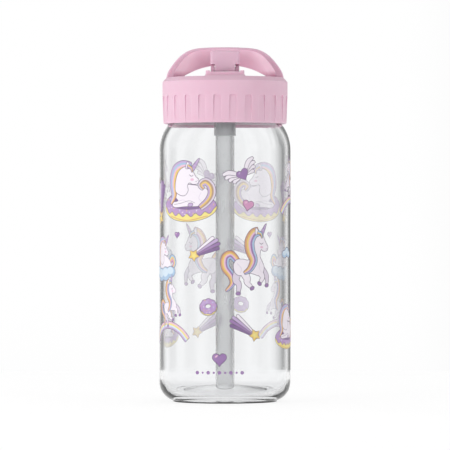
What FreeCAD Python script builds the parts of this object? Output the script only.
import FreeCAD, Part
import math
import os
import Sketcher

# Kids water bottle: a clear cylinder with a screw-on lid, a fixed carry handle,
# a spout that folds back under the handle, and a straw. Millimetres, +Z up, and
# the origin at the centre of the base. The front of the bottle faces -Y.

doc = FreeCAD.newDocument("kids_water_bottle")
Vector = FreeCAD.Vector

# ---------------------------------------------------------------- sizes

DRIVING = {
    "bottle": dict(
        body_radius=36.0, wall=2.0, base_corner=10.8, straight_top=137.7,
        shoulder_radius=24.0, neck_radius=28.6, neck_wall=2.6,
        neck_height=11.967, shoulder_gap=0.7, floor_thickness=3.6, punt_edge=23.4, punt_rise=3.4,
        punt_wall=2.2, rim_round=0.6),
    "thread": dict(
        thread_pitch=4.0, thread_turns=1.25, thread_depth=1.2, ridge_root=1.6,
        ridge_crest=0.8, ridge_sink=0.3, thread_drop=9.4, thread_clearance=0.35),
    "lid": dict(
        skirt_taper=0.55, deck_wall=2.4, skirt_wall=2.05, deck_gap=4.4, band_height=7.7, bevel_height=2.4,
        bevel_width=2.15, skirt_round=0.9, groove_count=25, groove_width=4.2,
        groove_depth=0.75, groove_corner=1.0),
    "liner": dict(
        gasket_height=1.6, gasket_gap=0.1, gasket_width=2.4, ceiling_wall=2.0,
        liner_wall=1.5, liner_gap=0.1, lip_wall=1.2, lip_length=3.2,
        lip_gap=0.4),
    "handle": dict(
        handle_rise=17.3, handle_front=2.0, handle_back=21.0, handle_rim=1.6,
        handle_foot=4.2, handle_inset=1.65, handle_back_drop=7.1, handle_back_wall=2.6,
        handle_back_sag=7.72, handle_back_foot=3.8, handle_back_inset=0.9,
        handle_round=0.7, handle_sink=1.8),
    "spout": dict(
        hinge_setback=14.5, hinge_rise=3.9, rotor_radius=5.8, rotor_width=10.8,
        pin_radius=1.5, pin_length=4.0, pin_fit=0.02, pin_running_fit=0.05,
        ear_thickness=2.1, ear_radius=2.6, moving_gap=0.3, block_width=15.8,
        block_height=7.4, block_length=12.8, block_round=1.3, bore_radius=2.2,
        nozzle_wall=1.0, nozzle_height=6.0, hood_gap=1.0),
    "mouthpiece": dict(
        tip_width=12.6, tip_height=6.6, tip_wall=1.5, tip_round=1.2),
    "pedestal": dict(
        pedestal_width=21.0, pedestal_height=3.1, pedestal_wall=1.5,
        pedestal_fillet=1.5, front_notch=0.7, pedestal_tail=2.2, well_floor=1.5),
    "port": dict(
        port_tilt=40.0, seal_radius=3.6, seal_length=2.75, seal_gap=0.05,
        housing_radius=8.2, housing_setback=10.2),
    "straw": dict(
        straw_radius=5.05, straw_wall=0.8, straw_setback=12.0, straw_grip=14.0,
        floor_gap=0.4, end_slope=0.3, collar_wall=0.8, collar_length=17.2,
        plug_radius=4.4, plug_length=8.0, plug_bore=2.6, plug_drop=7.4,
        socket_wall=1.6, push_fit=0.03),
    "vent": dict(
        valve_radius=4.2, valve_edge=0.4, valve_dish=1.05, stem_radius=1.2,
        bulb_radius=1.9, bulb_height=1.7, vent_gap=0.05, vent_hole=0.6,
        vent_ring=2.7, vent_count=4, deck_vent=0.8),
    "cutters": dict(overshoot=1.0, cutter_reach=40.0),
}

sheet = doc.addObject("Spreadsheet::Sheet", "Sizes")
row = 1
for group, values in DRIVING.items():
    sheet.set("A%d" % row, group)
    row += 1
    for alias, value in values.items():
        sheet.set("A%d" % row, alias)
        sheet.set("B%d" % row, str(value))
        sheet.setAlias("B%d" % row, alias)
        row += 1
doc.recompute()

# Levels and radii that follow from the driving sizes, each worked out once.
fits = doc.addObject("App::FeaturePython", "Fits")


def derive(name, expression):
    fits.addProperty("App::PropertyFloat", name, "Fits")
    fits.setExpression(name, expression)


def size(name):
    """The value of a driving size or of a derived one."""
    return float(getattr(fits if hasattr(fits, name) else sheet, name))


derive("neck_bore", "Sizes.neck_radius - Sizes.neck_wall")
derive("inner_radius", "Sizes.body_radius - Sizes.wall")
derive("shoulder_top", "Sizes.straight_top + Sizes.shoulder_radius")
derive("cavity_top", "Fits.shoulder_top - Sizes.wall")
derive("punt_top", "Sizes.floor_thickness + Sizes.punt_rise")
derive("punt_ball", "(Sizes.punt_edge ^ 2 + Sizes.punt_rise ^ 2) / (2 * Sizes.punt_rise)")
derive("under_rise", "Fits.punt_top - Sizes.punt_wall")
derive("under_ball", "(Sizes.punt_edge ^ 2 + Fits.under_rise ^ 2) / (2 * Fits.under_rise)")

derive("ridge_crest_radius", "Sizes.neck_radius + Sizes.thread_depth")
derive("liner_inner", "Fits.ridge_crest_radius + Sizes.thread_clearance")
derive("liner_crest_radius", "Sizes.neck_radius + Sizes.thread_clearance")
derive("liner_outer", "Fits.liner_inner + Sizes.liner_wall")
derive("skirt_inner", "Fits.liner_outer + Sizes.liner_gap")
derive("lid_radius", "Fits.skirt_inner + Sizes.skirt_wall + Sizes.skirt_taper")


def shoulder_level(radius):
    """The height at which the shoulder has narrowed to a radius, or where it begins."""
    inset = "max(Sizes.body_radius - (%s); 0)" % radius
    return ("Sizes.straight_top + sqrt(Sizes.shoulder_radius ^ 2"
            " - (Sizes.shoulder_radius - %s) ^ 2)" % inset)


# The neck stands on the shoulder, and the lid's skirt and its liner come down over
# the shoulder as far as their bores clear it.
derive("neck_top", shoulder_level("Sizes.neck_radius") + " + Sizes.neck_height")
derive("lid_bottom", shoulder_level("Fits.skirt_inner - Sizes.shoulder_gap"))
derive("liner_bottom", shoulder_level("Fits.liner_inner - Sizes.shoulder_gap"))
derive("ceiling_low", "Fits.neck_top + Sizes.gasket_height + 2 * Sizes.gasket_gap")
derive("ceiling_high", "Fits.ceiling_low + Sizes.ceiling_wall")
derive("deck_low", "Fits.ceiling_high + Sizes.deck_gap")
derive("deck_top", "Fits.deck_low + Sizes.deck_wall")
derive("band_bottom", "Fits.deck_top - Sizes.bevel_height - Sizes.band_height")
derive("lip_outer", "Fits.neck_bore - Sizes.lip_gap")

derive("hinge_y", "-Sizes.hinge_setback")
derive("hinge_z", "Fits.deck_top + Sizes.hinge_rise")
derive("ear_inner", "Sizes.rotor_width / 2 + Sizes.moving_gap")
derive("ear_outer", "Fits.ear_inner + Sizes.ear_thickness")
derive("block_lift", "Sizes.ear_radius + Sizes.moving_gap")
derive("block_top", "Fits.block_lift + Sizes.block_height")
derive("well_half", "Sizes.block_width / 2 + Sizes.moving_gap")
derive("well_depth", "Sizes.rotor_radius + Sizes.moving_gap")
derive("block_reach", "hypot(Sizes.rotor_radius - Sizes.block_round; Fits.block_top"
       " - Sizes.block_round) + Sizes.block_round")
derive("well_front", "Fits.hinge_y - Fits.block_reach - Sizes.moving_gap")
derive("pedestal_front", "Fits.well_front - Sizes.pedestal_wall")
derive("pedestal_back", "Fits.hinge_y + Fits.well_depth + Sizes.pedestal_tail")
derive("nozzle_radius", "Sizes.bore_radius + Sizes.nozzle_wall")
derive("hood_distance", "hypot(Sizes.handle_front - Fits.hinge_y; Fits.deck_top"
       " + Sizes.handle_rise - Sizes.handle_rim - Fits.hinge_z)")
derive("tip_sweep", "Fits.hood_distance - Sizes.hood_gap - Sizes.tip_round")
derive("tip_top", "Sizes.nozzle_height + Sizes.tip_height / 2 - Sizes.tip_round")
derive("tip_reach", "Sizes.tip_round + sqrt(Fits.tip_sweep ^ 2 - Fits.tip_top ^ 2)")
derive("block_back", "Fits.hinge_y - Sizes.rotor_radius + Sizes.block_length")
derive("nozzle_length", "Fits.hinge_y + Fits.tip_reach - Sizes.tip_wall - Fits.block_back")

derive("straw_y", "-Sizes.straw_setback")
derive("socket_top", "Fits.ceiling_high + Sizes.push_fit")
derive("plug_top", "Fits.ceiling_high")
derive("collar_top", "Fits.plug_top - Sizes.plug_length")
derive("collar_bottom", "Fits.collar_top - Sizes.collar_length")
derive("straw_top", "Fits.collar_bottom + Sizes.straw_grip")
derive("collar_radius", "Sizes.straw_radius + Sizes.collar_wall")
derive("socket_radius", "Sizes.plug_radius + Sizes.push_fit")
derive("socket_outer", "Fits.socket_radius + Sizes.socket_wall")
doc.recompute()

# ---------------------------------------------------------------- helpers


def place(item, position, turn=None):
    """Puts an object where three expressions say, turned by a rotation."""
    item.Placement = FreeCAD.Placement(Vector(), turn or FreeCAD.Rotation())
    for axis, expression in zip("xyz", position):
        item.setExpression("Placement.Base." + axis, expression)
    return item


def primitive(kind, name, position=("0", "0", "0"), turn=None, **sizes):
    """A Part primitive with its sizes and its place bound to the sheet."""
    item = doc.addObject("Part::" + kind, name)
    for prop, expression in sizes.items():
        item.setExpression(prop, expression)
    return place(item, position, turn)


def block(name, low, high):
    """A box between two corners, each given as three expressions."""
    spans = ["(%s) - (%s)" % (b, a) for a, b in zip(low, high)]
    return primitive("Box", name, low, Length=spans[0], Width=spans[1], Height=spans[2])


def fuse(name, items):
    item = doc.addObject("Part::MultiFuse", name)
    item.Shapes = items
    return item


def cut(name, base, tools):
    """A base with one or more tools taken away."""
    item = doc.addObject("Part::Cut", name)
    item.Base = base
    item.Tool = tools[0] if len(tools) == 1 else fuse(name + "_tools", tools)
    return item


def new_body(name):
    return doc.addObject("PartDesign::Body", name)


def origin_item(body, role):
    return next(item for item in body.Origin.OriginFeatures if item.Role == role)


def new_sketch(body, name, role, offset="0"):
    """A sketch on one of the body's own origin planes, moved along its normal."""
    sketch = body.newObject("Sketcher::SketchObject", name)
    sketch.AttachmentSupport = (origin_item(body, role), [""])
    sketch.MapMode = "FlatFace"
    sketch.setExpression("AttachmentOffset.Base.z", offset)
    return sketch


def pin_size(sketch, label, constraint, expression):
    """Adds a dimension to a sketch and binds it to an expression."""
    index = sketch.addConstraint(constraint)
    sketch.renameConstraint(index, label)
    sketch.setExpression("Constraints." + label, expression)


def circle_sketch(body, name, radius, role="XY_Plane", offset="0"):
    sketch = new_sketch(body, name, role, offset)
    ring = sketch.addGeometry(Part.Circle(Vector(), Vector(0, 0, 1), 10), False)
    sketch.addConstraint(Sketcher.Constraint("Coincident", ring, 3, -1, 1))
    pin_size(sketch, "radius", Sketcher.Constraint("Radius", ring, 10), radius)
    return sketch


def outline(body, name, corners, role="XZ_Plane", offset="0"):
    """A closed outline of straight lines, each corner pinned by two expressions."""
    sketch = new_sketch(body, name, role, offset)
    count = len(corners)
    angles = [2 * math.pi * i / count for i in range(count)]
    start = [Vector(60 + 20 * math.cos(a), 60 + 20 * math.sin(a), 0) for a in angles]
    for i in range(count):
        sketch.addGeometry(Part.LineSegment(start[i], start[(i + 1) % count]), False)
    for i in range(count):
        sketch.addConstraint(Sketcher.Constraint("Coincident", i, 2, (i + 1) % count, 1))
    for i, (across, up) in enumerate(corners):
        for kind, value, guess, axis in (("DistanceX", across, start[i].x, -2),
                                         ("DistanceY", up, start[i].y, -1)):
            if value == "0":
                sketch.addConstraint(Sketcher.Constraint("PointOnObject", i, 1, axis))
            else:
                rule = Sketcher.Constraint(kind, -1, 1, i, 1, guess)
                pin_size(sketch, "%s%d" % (kind[-1].lower(), i), rule, value)
    return sketch


def pad(body, name, sketch, length, upward=True):
    feature = body.newObject("PartDesign::Pad", name)
    feature.Profile = sketch
    feature.Reversed = not upward
    feature.setExpression("Length", length)
    return feature


def revolve(body, name, corners):
    """A turned form: an outline of (radius, height) corners spun about Z."""
    sketch = outline(body, name + "_profile", corners)
    feature = body.newObject("PartDesign::Revolution", name)
    feature.Profile = sketch
    feature.ReferenceAxis = (sketch, ["V_Axis"])
    feature.Angle = 360
    return feature


def round_edges(body, name, base, radius, chosen):
    """Rounds the edges of a feature that pass a test on their bounding box."""
    doc.recompute()
    edges = ["Edge%d" % (i + 1) for i, edge in enumerate(base.Shape.Edges)
             if chosen(edge)]
    feature = body.newObject("PartDesign::Fillet", name)
    feature.Base = (base, edges)
    feature.setExpression("Radius", radius)
    return feature


def level_circle(radius, height):
    """A test for a circular edge of one radius at one height."""
    def test(edge):
        box = edge.BoundBox
        flat = box.ZLength < 1e-4 and abs(box.ZMin - height) < 1e-3
        return flat and abs(box.XMax - radius) < 0.05
    return test


def thread(body, name, root, crest, centre):
    """A helical ridge: a trapezium from its sunk root to its crest, swept upwards."""
    sketch = outline(body, name + "_profile", [
        (root, "%s - Sizes.ridge_root / 2" % centre),
        (root, "%s + Sizes.ridge_root / 2" % centre),
        (crest, "%s + Sizes.ridge_crest / 2" % centre),
        (crest, "%s - Sizes.ridge_crest / 2" % centre)])
    ridge = body.newObject("PartDesign::AdditiveHelix", name)
    ridge.Profile = sketch
    ridge.ReferenceAxis = (sketch, ["V_Axis"])
    ridge.Mode = "pitch-turns-angle"
    ridge.setExpression("Pitch", "Sizes.thread_pitch")
    ridge.setExpression("Turns", "Sizes.thread_turns")
    return ridge


# ---------------------------------------------------------------- bottle body
# Clear moulded bottle: rounded base with a pushed-up punt, straight wall,
# rounded shoulder, and a threaded neck.

bottle_form = new_body("bottle_form")
bottle_blank = pad(bottle_form, "bottle_blank", circle_sketch(
    bottle_form, "bottle_circle", "Sizes.body_radius"), "Fits.shoulder_top")
bottle_base = round_edges(bottle_form, "base_corner_round", bottle_blank,
                          "Sizes.base_corner", level_circle(size("body_radius"), 0))
round_edges(bottle_form, "shoulder_round", bottle_base, "Sizes.shoulder_radius",
            level_circle(size("body_radius"), size("shoulder_top")))
neck = pad(bottle_form, "neck", circle_sketch(
    bottle_form, "neck_circle", "Sizes.neck_radius"), "Fits.neck_top")
round_edges(bottle_form, "rim_outer_round", neck, "Sizes.rim_round",
            level_circle(size("neck_radius"), size("neck_top")))
thread(bottle_form, "neck_thread", "Sizes.neck_radius - Sizes.ridge_sink",
       "Fits.ridge_crest_radius", "(Fits.neck_top - Sizes.thread_drop)")

cavity_form = new_body("cavity_form")
cavity_blank = pad(cavity_form, "cavity_blank", circle_sketch(
    cavity_form, "cavity_circle", "Fits.inner_radius", offset="Sizes.floor_thickness"),
    "Fits.cavity_top - Sizes.floor_thickness")
cavity_base = round_edges(cavity_form, "cavity_base_round", cavity_blank,
                          "Sizes.base_corner - Sizes.wall",
                          level_circle(size("inner_radius"), size("floor_thickness")))
round_edges(cavity_form, "cavity_shoulder_round", cavity_base,
            "Sizes.shoulder_radius - Sizes.wall",
            level_circle(size("inner_radius"), size("cavity_top")))
pad(cavity_form, "neck_passage", circle_sketch(
    cavity_form, "bore_circle", "Fits.neck_bore", offset="Fits.shoulder_top / 2"),
    "max(Fits.neck_top; Fits.shoulder_top) - Fits.shoulder_top / 2 + Sizes.overshoot")

punt = primitive("Sphere", "punt", ("0", "0", "Fits.punt_top - Fits.punt_ball"),
                 Radius="Fits.punt_ball")
cavity = cut("cavity", cavity_form, [punt])
underside = primitive("Sphere", "underside", ("0", "0", "Fits.under_rise - Fits.under_ball"),
                      Radius="Fits.under_ball")
bottle_body = cut("bottle_body", bottle_form, [cavity, underside])

# ---------------------------------------------------------------- neck gasket
# Silicone ring between the rim of the neck and the liner's ceiling.

neck_gasket = new_body("neck_gasket")
gasket_low = "Fits.neck_top + Sizes.gasket_gap"
gasket_high = "Fits.ceiling_low - Sizes.gasket_gap"
revolve(neck_gasket, "gasket_ring", [
    ("Fits.neck_bore + Sizes.gasket_gap", gasket_low),
    ("Fits.neck_bore + Sizes.gasket_width", gasket_low),
    ("Fits.neck_bore + Sizes.gasket_width", gasket_high),
    ("Fits.neck_bore + Sizes.gasket_gap", gasket_high)])

# ---------------------------------------------------------------- lid liner
# Threaded inner cup welded inside the lid, with a plug lip that enters the neck.

liner_form = new_body("liner_form")
lip_inner = "Fits.lip_outer - Sizes.lip_wall"
lip_end = "Fits.ceiling_low - Sizes.lip_length"
revolve(liner_form, "liner_cup", [
    ("0", "Fits.ceiling_high"), ("0", "Fits.ceiling_low"),
    (lip_inner, "Fits.ceiling_low"), (lip_inner, lip_end),
    ("Fits.lip_outer", lip_end), ("Fits.lip_outer", "Fits.ceiling_low"),
    ("Fits.liner_inner", "Fits.ceiling_low"), ("Fits.liner_inner", "Fits.liner_bottom"),
    ("Fits.liner_outer", "Fits.liner_bottom"), ("Fits.liner_outer", "Fits.ceiling_high")])
thread(liner_form, "liner_thread", "Fits.liner_inner + Sizes.ridge_sink",
       "Fits.liner_crest_radius",
       "(Fits.neck_top - Sizes.thread_drop - Sizes.thread_pitch / 2)")

housing_passage = primitive(
    "Cylinder", "housing_passage", ("0", "Fits.straw_y", "Fits.ceiling_low - Sizes.overshoot"),
    Radius="Fits.socket_outer + Sizes.push_fit", Height="Sizes.ceiling_wall + 2 * Sizes.overshoot")
stem_hole = primitive(
    "Cylinder", "stem_hole", ("0", "0", "Fits.ceiling_low - Sizes.overshoot"),
    Radius="Sizes.stem_radius + Sizes.vent_gap", Height="Sizes.ceiling_wall + 2 * Sizes.overshoot")
vent_holes = []
for i in range(int(size("vent_count"))):
    step = 2 * math.pi * (i + 0.5) / size("vent_count")
    vent_holes.append(primitive(
        "Cylinder", "vent_hole_%d" % (i + 1),
        ("Sizes.vent_ring * %.4f" % math.cos(step),
         "Sizes.vent_ring * %.4f" % math.sin(step), "Fits.ceiling_low - Sizes.overshoot"),
        Radius="Sizes.vent_hole", Height="Sizes.ceiling_wall + 2 * Sizes.overshoot"))
lid_liner = cut("lid_liner", liner_form, [housing_passage, stem_hole] + vent_holes)

# ---------------------------------------------------------------- vent valve
# Silicone umbrella valve on the axis of the lid: it lets air in as water is drawn.

vent_valve = new_body("vent_valve")
dish_top = "Fits.ceiling_low - Sizes.vent_gap"
bulb_low = "Fits.ceiling_high + Sizes.vent_gap"
revolve(vent_valve, "umbrella", [
    ("0", "%s - Sizes.valve_edge - Sizes.valve_dish" % dish_top),
    ("Sizes.valve_radius", "%s - Sizes.valve_edge" % dish_top),
    ("Sizes.valve_radius", dish_top), ("Sizes.stem_radius", dish_top),
    ("Sizes.stem_radius", bulb_low), ("Sizes.bulb_radius", bulb_low),
    ("Sizes.stem_radius", "%s + Sizes.bulb_height" % bulb_low),
    ("0", "%s + Sizes.bulb_height" % bulb_low)])

# ---------------------------------------------------------------- lid shell
# Outer lid moulding: ribbed skirt, plain band, deck, carry handle, and the
# pedestal with its well, hinge ears and the housing of the drinking port.

lid_form = new_body("lid_form")
lid_turned = revolve(lid_form, "lid_turned", [
    ("0", "Fits.deck_top"), ("0", "Fits.deck_low"),
    ("Fits.skirt_inner", "Fits.deck_low"), ("Fits.skirt_inner", "Fits.lid_bottom"),
    ("Fits.lid_radius - Sizes.skirt_taper", "Fits.lid_bottom"),
    ("Fits.lid_radius", "Fits.band_bottom"),
    ("Fits.lid_radius", "Fits.deck_top - Sizes.bevel_height"),
    ("Fits.lid_radius - Sizes.bevel_width", "Fits.deck_top")])
skirt_edge = round_edges(
    lid_form, "skirt_edge_round", lid_turned, "Sizes.skirt_round",
    level_circle(size("lid_radius") - size("skirt_taper"), size("lid_bottom")))

# One groove, drawn at the back of the skirt with rounded upper corners, and
# repeated all round: a rib, not a groove, then stands at the front.
half_groove = "Sizes.groove_width / 2"
CORNER_STEP = 0.3
groove_left = [
    ("-" + half_groove, "Fits.lid_bottom - Sizes.overshoot"),
    ("-" + half_groove, "Fits.band_bottom - Sizes.groove_corner"),
    ("-%s + %.1f * Sizes.groove_corner" % (half_groove, CORNER_STEP),
     "Fits.band_bottom - %.1f * Sizes.groove_corner" % CORNER_STEP),
    ("-%s + Sizes.groove_corner" % half_groove, "Fits.band_bottom")]
groove_right = [("-(%s)" % across, up) for across, up in reversed(groove_left)]
groove_sketch = outline(lid_form, "groove_outline", groove_left + groove_right,
                        offset="Sizes.groove_depth - Fits.lid_radius")
groove = lid_form.newObject("PartDesign::Pocket", "groove")
groove.Profile = groove_sketch
groove.setExpression("Length", "Sizes.groove_depth + Sizes.overshoot")
grooves = lid_form.newObject("PartDesign::PolarPattern", "grooves")
grooves.Originals = [groove]
grooves.Axis = (origin_item(lid_form, "Z_Axis"), [""])
grooves.Angle = 360
grooves.setExpression("Occurrences", "Sizes.groove_count")
lid_form.Tip = grooves

pedestal = pad(lid_form, "pedestal", outline(lid_form, "pedestal_outline", [
    ("-Sizes.pedestal_width / 2", "Fits.pedestal_front"),
    ("Sizes.pedestal_width / 2", "Fits.pedestal_front"),
    ("Sizes.pedestal_width / 2", "Fits.pedestal_back"),
    ("-Sizes.pedestal_width / 2", "Fits.pedestal_back")],
    role="XY_Plane", offset="Fits.deck_low + Sizes.deck_wall / 2"),
    "Sizes.deck_wall / 2 + Sizes.pedestal_height")


def pedestal_upright(edge):
    box = edge.BoundBox
    tall = box.ZLength > size("pedestal_height") - 0.01
    return tall and abs(abs(box.XMax) - size("pedestal_width") / 2) < 0.01 and box.XLength < 0.01


def pedestal_foot(edge):
    box = edge.BoundBox
    on_deck = box.ZLength < 1e-4 and abs(box.ZMin - size("deck_top")) < 1e-3
    reach = size("pedestal_width") / 2 + 0.01
    return on_deck and -reach < box.XMin and box.XMax < reach


pedestal_round = round_edges(lid_form, "pedestal_corner_round", pedestal,
                             "Sizes.pedestal_fillet", pedestal_upright)
round_edges(lid_form, "pedestal_foot_round", pedestal_round, "Sizes.pedestal_fillet",
            pedestal_foot)

# The handle is a hood over the rear half of the lid. Its front edge is a broad
# arch with soft shoulders; its back edge is lower and follows a circular arc.
ARCH = [(0.0, 1.0), (0.34, 0.985), (0.60, 0.905), (0.76, 0.715), (0.89, 0.43),
        (0.975, 0.16), (1.0, -0.06)]


def arch_points(half_width, foot, rise):
    """The front arch from its left foot to its right foot."""
    right = [(across * half_width, foot + up * rise) for across, up in ARCH]
    return [(-x, z) for x, z in reversed(right[1:])] + right


def round_arch_points(half_width, top, radius, foot):
    """The back arch: a circular arc that ends in two upright feet."""
    right = [(across * half_width, top - radius
              + math.sqrt(radius ** 2 - (across * half_width) ** 2))
             for across, _ in ARCH[:-1]]
    right.append((half_width, foot))
    return [(-x, z) for x, z in reversed(right[1:])] + right


def band_section(outer, inner, y):
    """A closed arch band in the plane at y, between two arches."""
    edges = []
    for points in (outer, inner):
        curve = Part.BSplineCurve()
        curve.interpolate([Vector(x, y, z) for x, z in points])
        edges.append(curve.toShape())
    feet = [Part.makeLine(Vector(outer[i][0], y, outer[i][1]),
                          Vector(inner[i][0], y, inner[i][1])) for i in (-1, 0)]
    return Part.Wire([edges[0], feet[0], edges[1].reversed(), feet[1]])


def make_handle():
    foot = size("deck_top")
    front_half = math.sqrt((size("lid_radius") - size("handle_inset")) ** 2
                           - size("handle_front") ** 2)
    back_half = (math.sqrt(size("lid_radius") ** 2 - size("handle_back") ** 2)
                 - size("handle_back_inset"))
    rise = size("handle_rise")
    sunk = foot - size("handle_sink")
    back_top = foot + rise - size("handle_back_drop")
    back_wall = size("handle_back_wall")
    sag = size("handle_back_sag")
    arc = (back_half ** 2 + sag ** 2) / (2 * sag)
    front = band_section(
        arch_points(front_half, foot, rise),
        arch_points(front_half - size("handle_foot"), foot, rise - size("handle_rim")),
        size("handle_front"))
    back = band_section(
        round_arch_points(back_half, back_top, arc, sunk),
        round_arch_points(back_half - size("handle_back_foot"), back_top - back_wall,
                          arc - back_wall, sunk),
        size("handle_back"))
    hood = Part.makeLoft([front, back], True, False)
    rims = [edge for edge in hood.Edges if edge.BoundBox.YLength < 1e-3
            and edge.BoundBox.XLength > size("lid_radius")]
    return hood.makeFillet(size("handle_round"), rims)


handle = doc.addObject("Part::Feature", "handle")
handle.Shape = make_handle()

# The port's line runs from the hinge axis down and back, at the port's tilt.
tilt = math.radians(size("port_tilt"))
port_line = Vector(0, math.sin(tilt), -math.cos(tilt))
hinge = Vector(0, size("hinge_y"), size("hinge_z"))
across_turn = FreeCAD.Rotation(Vector(0, 1, 0), 90)


def rod(name, start, end, radius):
    """A round bar between two points, its radius bound to the sheet."""
    line = end - start
    bar = doc.addObject("Part::Cylinder", name)
    bar.setExpression("Radius", radius)
    bar.Height = line.Length
    bar.Placement = FreeCAD.Placement(start, FreeCAD.Rotation(Vector(0, 0, 1), line))
    return bar


def across_bar(name, radius, half_width):
    """A round bar along the hinge axis, centred on the bottle's middle plane."""
    return primitive("Cylinder", name, ("-(%s)" % half_width, "Fits.hinge_y", "Fits.hinge_z"),
                     across_turn, Radius=radius, Height="2 * (%s)" % half_width)


seal_start = size("rotor_radius") + size("seal_gap")
seal_end = seal_start + size("seal_length")
port_foot = hinge + port_line * seal_end
straw_head = Vector(0, size("straw_y"), size("socket_top"))

housing = primitive("Cylinder", "port_housing",
                    ("0", "-Sizes.housing_setback", "Fits.ceiling_high"),
                    Radius="Sizes.housing_radius", Height="Sizes.deck_gap + Sizes.deck_wall")
socket_boss = primitive("Cylinder", "straw_socket_boss",
                        ("0", "Fits.straw_y", "Fits.collar_top"),
                        Radius="Fits.socket_outer",
                        Height="Fits.deck_low - Fits.collar_top")
well_case = block("well_case",
                  ("-Fits.well_half - Sizes.well_floor", "Fits.pedestal_front",
                   "Fits.hinge_z - Fits.well_depth - Sizes.well_floor"),
                  ("Fits.well_half + Sizes.well_floor", "Fits.hinge_y", "Fits.deck_top"))
well = block("well",
             ("-Fits.well_half", "Fits.well_front", "Fits.hinge_z - Fits.well_depth"),
             ("Fits.well_half", "Fits.hinge_y + Sizes.ear_radius", "Fits.hinge_z + Sizes.cutter_reach"))
notch = block("front_notch_cut",
              ("-Fits.well_half", "Fits.pedestal_front - Sizes.overshoot",
               "Fits.deck_top + Sizes.pedestal_height - Sizes.front_notch"),
              ("Fits.well_half", "Fits.well_front + Sizes.overshoot", "Fits.hinge_z + Sizes.cutter_reach"))
trough = across_bar("rotor_trough", "Fits.well_depth", "Fits.ear_inner")
shell_hollow = cut("shell_hollow", fuse("shell_mass", [
    lid_form, handle, housing, socket_boss, well_case]), [well, notch, trough])

ears = []
for side, label in ((-1, "left"), (1, "right")):
    low_x = "%d * Fits.%s" % (side, "ear_outer" if side < 0 else "ear_inner")
    high_x = "%d * Fits.%s" % (side, "ear_inner" if side < 0 else "ear_outer")
    ears.append(primitive("Cylinder", "ear_%s_top" % label,
                          (low_x, "Fits.hinge_y", "Fits.hinge_z"), across_turn,
                          Radius="Sizes.ear_radius", Height="Sizes.ear_thickness"))
    ears.append(block("ear_%s_web" % label,
                      (low_x, "Fits.hinge_y - Sizes.ear_radius",
                       "Fits.hinge_z - Fits.well_depth - Sizes.well_floor / 2"),
                      (high_x, "Fits.hinge_y + Sizes.ear_radius", "Fits.hinge_z")))
shell_solid = fuse("shell_solid", [shell_hollow] + ears)

pin_bore = across_bar("ear_pin_bore", "Sizes.pin_radius + Sizes.pin_fit",
                      "Fits.ear_outer + Sizes.push_fit")
seal_pocket = rod("seal_pocket", hinge, port_foot, "Sizes.seal_radius + Sizes.push_fit")
port_passage = rod("port_passage", port_foot - port_line, straw_head
                   + (straw_head - port_foot).normalize(), "Sizes.bore_radius")
socket = primitive("Cylinder", "straw_socket",
                   ("0", "Fits.straw_y", "Fits.collar_top - Sizes.overshoot"),
                   Radius="Fits.socket_radius",
                   Height="Fits.socket_top - Fits.collar_top + Sizes.overshoot")
deck_hole = primitive("Cylinder", "deck_vent_hole",
                      ("0", "0", "Fits.deck_low - Sizes.overshoot"), Radius="Sizes.deck_vent",
                      Height="Sizes.deck_wall + 2 * Sizes.overshoot")
lid_shell = cut("lid_shell", shell_solid,
                [pin_bore, seal_pocket, port_passage, socket, deck_hole])

# ---------------------------------------------------------------- port seal
# Silicone bush in the well's floor, hollowed to the rotor that turns on it.

seal_bar = rod("seal_bar", hinge, port_foot, "Sizes.seal_radius")
seal_bore = rod("seal_bore", hinge, port_foot + port_line, "Sizes.bore_radius")
seal_saddle = across_bar("seal_saddle", "Sizes.rotor_radius + Sizes.seal_gap",
                         "Sizes.seal_radius * 2")
port_seal = cut("port_seal", seal_bar, [seal_bore, seal_saddle])

# ---------------------------------------------------------------- hinge pins
# Two stainless pins pressed into the ears; the spout turns on their inner ends.

pin_end = "Fits.ear_outer"
hinge_pins = fuse("hinge_pins", [
    primitive("Cylinder", "pin_left", ("-(%s)" % pin_end, "Fits.hinge_y", "Fits.hinge_z"),
              across_turn, Radius="Sizes.pin_radius", Height="Sizes.pin_length"),
    primitive("Cylinder", "pin_right",
              ("%s - Sizes.pin_length" % pin_end, "Fits.hinge_y", "Fits.hinge_z"),
              across_turn, Radius="Sizes.pin_radius", Height="Sizes.pin_length")])

# ---------------------------------------------------------------- spout body
# Flip spout, drawn folded: a rotor between the ears, a flat-fronted block over
# it, and a nozzle that points back under the handle.

spout_form = new_body("spout_form")
spout_block = pad(spout_form, "spout_block", outline(spout_form, "block_outline", [
    ("-Sizes.block_width / 2", "Fits.hinge_y - Sizes.rotor_radius"),
    ("Sizes.block_width / 2", "Fits.hinge_y - Sizes.rotor_radius"),
    ("Sizes.block_width / 2", "Fits.block_back"),
    ("-Sizes.block_width / 2", "Fits.block_back")],
    role="XY_Plane", offset="Fits.hinge_z + Fits.block_lift"), "Sizes.block_height")


def block_corner(edge):
    box = edge.BoundBox
    top = abs(box.ZMin - size("hinge_z") - size("block_top")) < 1e-3
    return top or box.ZLength > size("block_height") - 0.01


round_edges(spout_form, "block_round", spout_block, "Sizes.block_round", block_corner)

rotor = across_bar("rotor", "Sizes.rotor_radius", "Sizes.rotor_width / 2")
rotor_cheek = block("rotor_cheek",
                    ("-Sizes.rotor_width / 2", "Fits.hinge_y - Sizes.rotor_radius",
                     "Fits.hinge_z"),
                    ("Sizes.rotor_width / 2", "Fits.hinge_y + Sizes.rotor_radius",
                     "Fits.hinge_z + Fits.block_lift + Sizes.overshoot"))
channel_z = "Fits.hinge_z + Sizes.nozzle_height"
back_turn = FreeCAD.Rotation(Vector(1, 0, 0), -90)
nozzle = primitive("Cylinder", "nozzle",
                   ("0", "Fits.block_back - Sizes.overshoot", channel_z), back_turn,
                   Radius="Fits.nozzle_radius", Height="Fits.nozzle_length + Sizes.overshoot")

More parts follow.
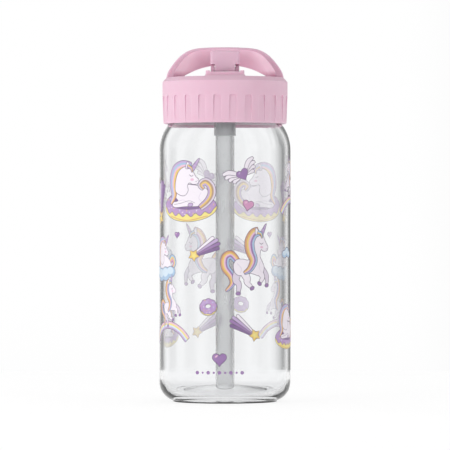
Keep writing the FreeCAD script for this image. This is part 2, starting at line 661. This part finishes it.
elbow = Vector(0, size("hinge_y") + size("bore_radius") / 2,
               size("hinge_z") + size("nozzle_height"))
inlet_line = Vector(0, -math.cos(tilt), -math.sin(tilt))
inlet = hinge + inlet_line * (size("rotor_radius") + size("overshoot"))
long_channel = primitive("Cylinder", "long_channel",
                         ("0", "Fits.hinge_y + Sizes.bore_radius / 2", channel_z), back_turn,
                         Radius="Sizes.bore_radius", Height="Sizes.cutter_reach")
inlet_channel = rod("inlet_channel", elbow, inlet, "Sizes.bore_radius")
channel_elbow = primitive("Sphere", "channel_elbow",
                          ("0", "Fits.hinge_y + Sizes.bore_radius / 2", channel_z),
                          Radius="Sizes.bore_radius")
pin_socket_depth = "Fits.ear_outer - Sizes.pin_length - Sizes.pin_running_fit"
pin_sockets = [
    primitive("Cylinder", "pin_socket_left",
              ("-Sizes.cutter_reach", "Fits.hinge_y", "Fits.hinge_z"), across_turn,
              Radius="Sizes.pin_radius + Sizes.pin_running_fit",
              Height="Sizes.cutter_reach - (%s)" % pin_socket_depth),
    primitive("Cylinder", "pin_socket_right",
              (pin_socket_depth, "Fits.hinge_y", "Fits.hinge_z"), across_turn,
              Radius="Sizes.pin_radius + Sizes.pin_running_fit",
              Height="Sizes.cutter_reach")]
spout_body = cut("spout_body", fuse("spout_mass", [spout_form, rotor, rotor_cheek, nozzle]),
                 [long_channel, inlet_channel, channel_elbow] + pin_sockets)

# ---------------------------------------------------------------- mouthpiece
# Soft silicone tip pushed over the nozzle: a flattened oval with a rounded end.

tip_form = new_body("tip_form")
tip_start = "Fits.block_back + Sizes.pin_running_fit"
half_tip = "Sizes.tip_width / 2"
tip_low = "%s - Sizes.tip_height / 2" % channel_z
tip_high = "%s + Sizes.tip_height / 2" % channel_z
tip_sleeve = pad(tip_form, "tip_sleeve", outline(tip_form, "tip_outline", [
    ("-" + half_tip, tip_low), (half_tip, tip_low), (half_tip, tip_high),
    ("-" + half_tip, tip_high)], offset="-(%s)" % tip_start),
    "Fits.nozzle_length + Sizes.tip_wall", upward=False)


def tip_side(edge):
    box = edge.BoundBox
    return box.XLength < 0.01 and box.ZLength < 0.01


def tip_end(edge):
    box = edge.BoundBox
    return box.YLength < 0.01 and box.YMin > size("hinge_y") + size("nozzle_length")


tip_rounded = round_edges(tip_form, "tip_side_round", tip_sleeve,
                          "Sizes.tip_height / 2 - Sizes.pin_running_fit", tip_side)
round_edges(tip_form, "tip_end_round", tip_rounded, "Sizes.tip_round", tip_end)
nozzle_hole = primitive("Cylinder", "nozzle_hole", ("0", "Fits.block_back", channel_z), back_turn,
                        Radius="Fits.nozzle_radius + Sizes.push_fit",
                        Height="Fits.nozzle_length + Sizes.pin_running_fit")
drink_hole = primitive("Cylinder", "drink_hole", ("0", "Fits.block_back", channel_z), back_turn,
                       Radius="Sizes.bore_radius",
                       Height="Fits.nozzle_length + Sizes.cutter_reach")
mouthpiece = cut("mouthpiece", tip_form, [nozzle_hole, drink_hole])

# ---------------------------------------------------------------- straw connector
# Collar that holds the straw and pushes up into the socket under the lid.

straw_connector = new_body("straw_connector")
revolve(straw_connector, "connector_turned", [
    ("Fits.collar_radius", "Fits.collar_bottom"), ("Fits.collar_radius", "Fits.collar_top"),
    ("Sizes.plug_radius", "Fits.collar_top"), ("Sizes.plug_radius", "Fits.plug_top"),
    ("Sizes.plug_bore", "Fits.plug_top"), ("Sizes.plug_bore", "Fits.straw_top"),
    ("Sizes.straw_radius + Sizes.push_fit", "Fits.straw_top"),
    ("Sizes.straw_radius + Sizes.push_fit", "Fits.collar_bottom")])
place(straw_connector, ("0", "Fits.straw_y", "0"))

# ---------------------------------------------------------------- straw
# Clear tube from the collar to the floor, cut on a slant that follows the punt.

front_reach = size("straw_setback") + size("straw_radius")
punt_here = size("punt_top") - size("punt_ball") + math.sqrt(
    size("punt_ball") ** 2 - front_reach ** 2)
straw_end = max(punt_here, size("floor_thickness")) + size("floor_gap")
straw_length = "Fits.straw_top - Sizes.floor_thickness"
straw_base = ("0", "Fits.straw_y", "Sizes.floor_thickness")
straw_bar = primitive("Cylinder", "straw_bar", straw_base, Radius="Sizes.straw_radius",
                      Height=straw_length)
straw_hole = primitive("Cylinder", "straw_hole", straw_base,
                       Radius="Sizes.straw_radius - Sizes.straw_wall", Height=straw_length)
slant = doc.addObject("Part::Box", "straw_slant")
for side in ("Length", "Width", "Height"):
    slant.setExpression(side, "Sizes.cutter_reach")
reach = size("cutter_reach")
slant_turn = FreeCAD.Rotation(Vector(1, 0, 0), math.degrees(math.atan(size("end_slope"))))
slant.Placement = FreeCAD.Placement(
    Vector(0, -front_reach, straw_end), slant_turn).multiply(
    FreeCAD.Placement(Vector(-reach / 2, -reach / 2, -reach), FreeCAD.Rotation()))
straw = cut("straw", straw_bar, [straw_hole, slant])

# ---------------------------------------------------------------- write out

NODES = {
    "bottle_body": bottle_body, "neck_gasket": neck_gasket, "lid_liner": lid_liner,
    "vent_valve": vent_valve, "lid_shell": lid_shell, "port_seal": port_seal,
    "hinge_pins": hinge_pins, "spout_body": spout_body, "mouthpiece": mouthpiece,
    "straw_connector": straw_connector, "straw": straw}

doc.recompute()
for item in doc.Objects:
    if "Invalid" in item.State or "Error" in item.State:
        raise RuntimeError("%s did not recompute: %s" % (item.Name, item.State))

os.makedirs("parts", exist_ok=True)
for name, item in NODES.items():
    item.Label = name
    if item.Shape.isNull() or not item.Shape.isValid():
        raise RuntimeError("%s has no valid shape" % name)
    item.Shape.exportStep("parts/%s.step" % name)
    print("%-16s solids %d volume %.1f" % (name, len(item.Shape.Solids), item.Shape.Volume))
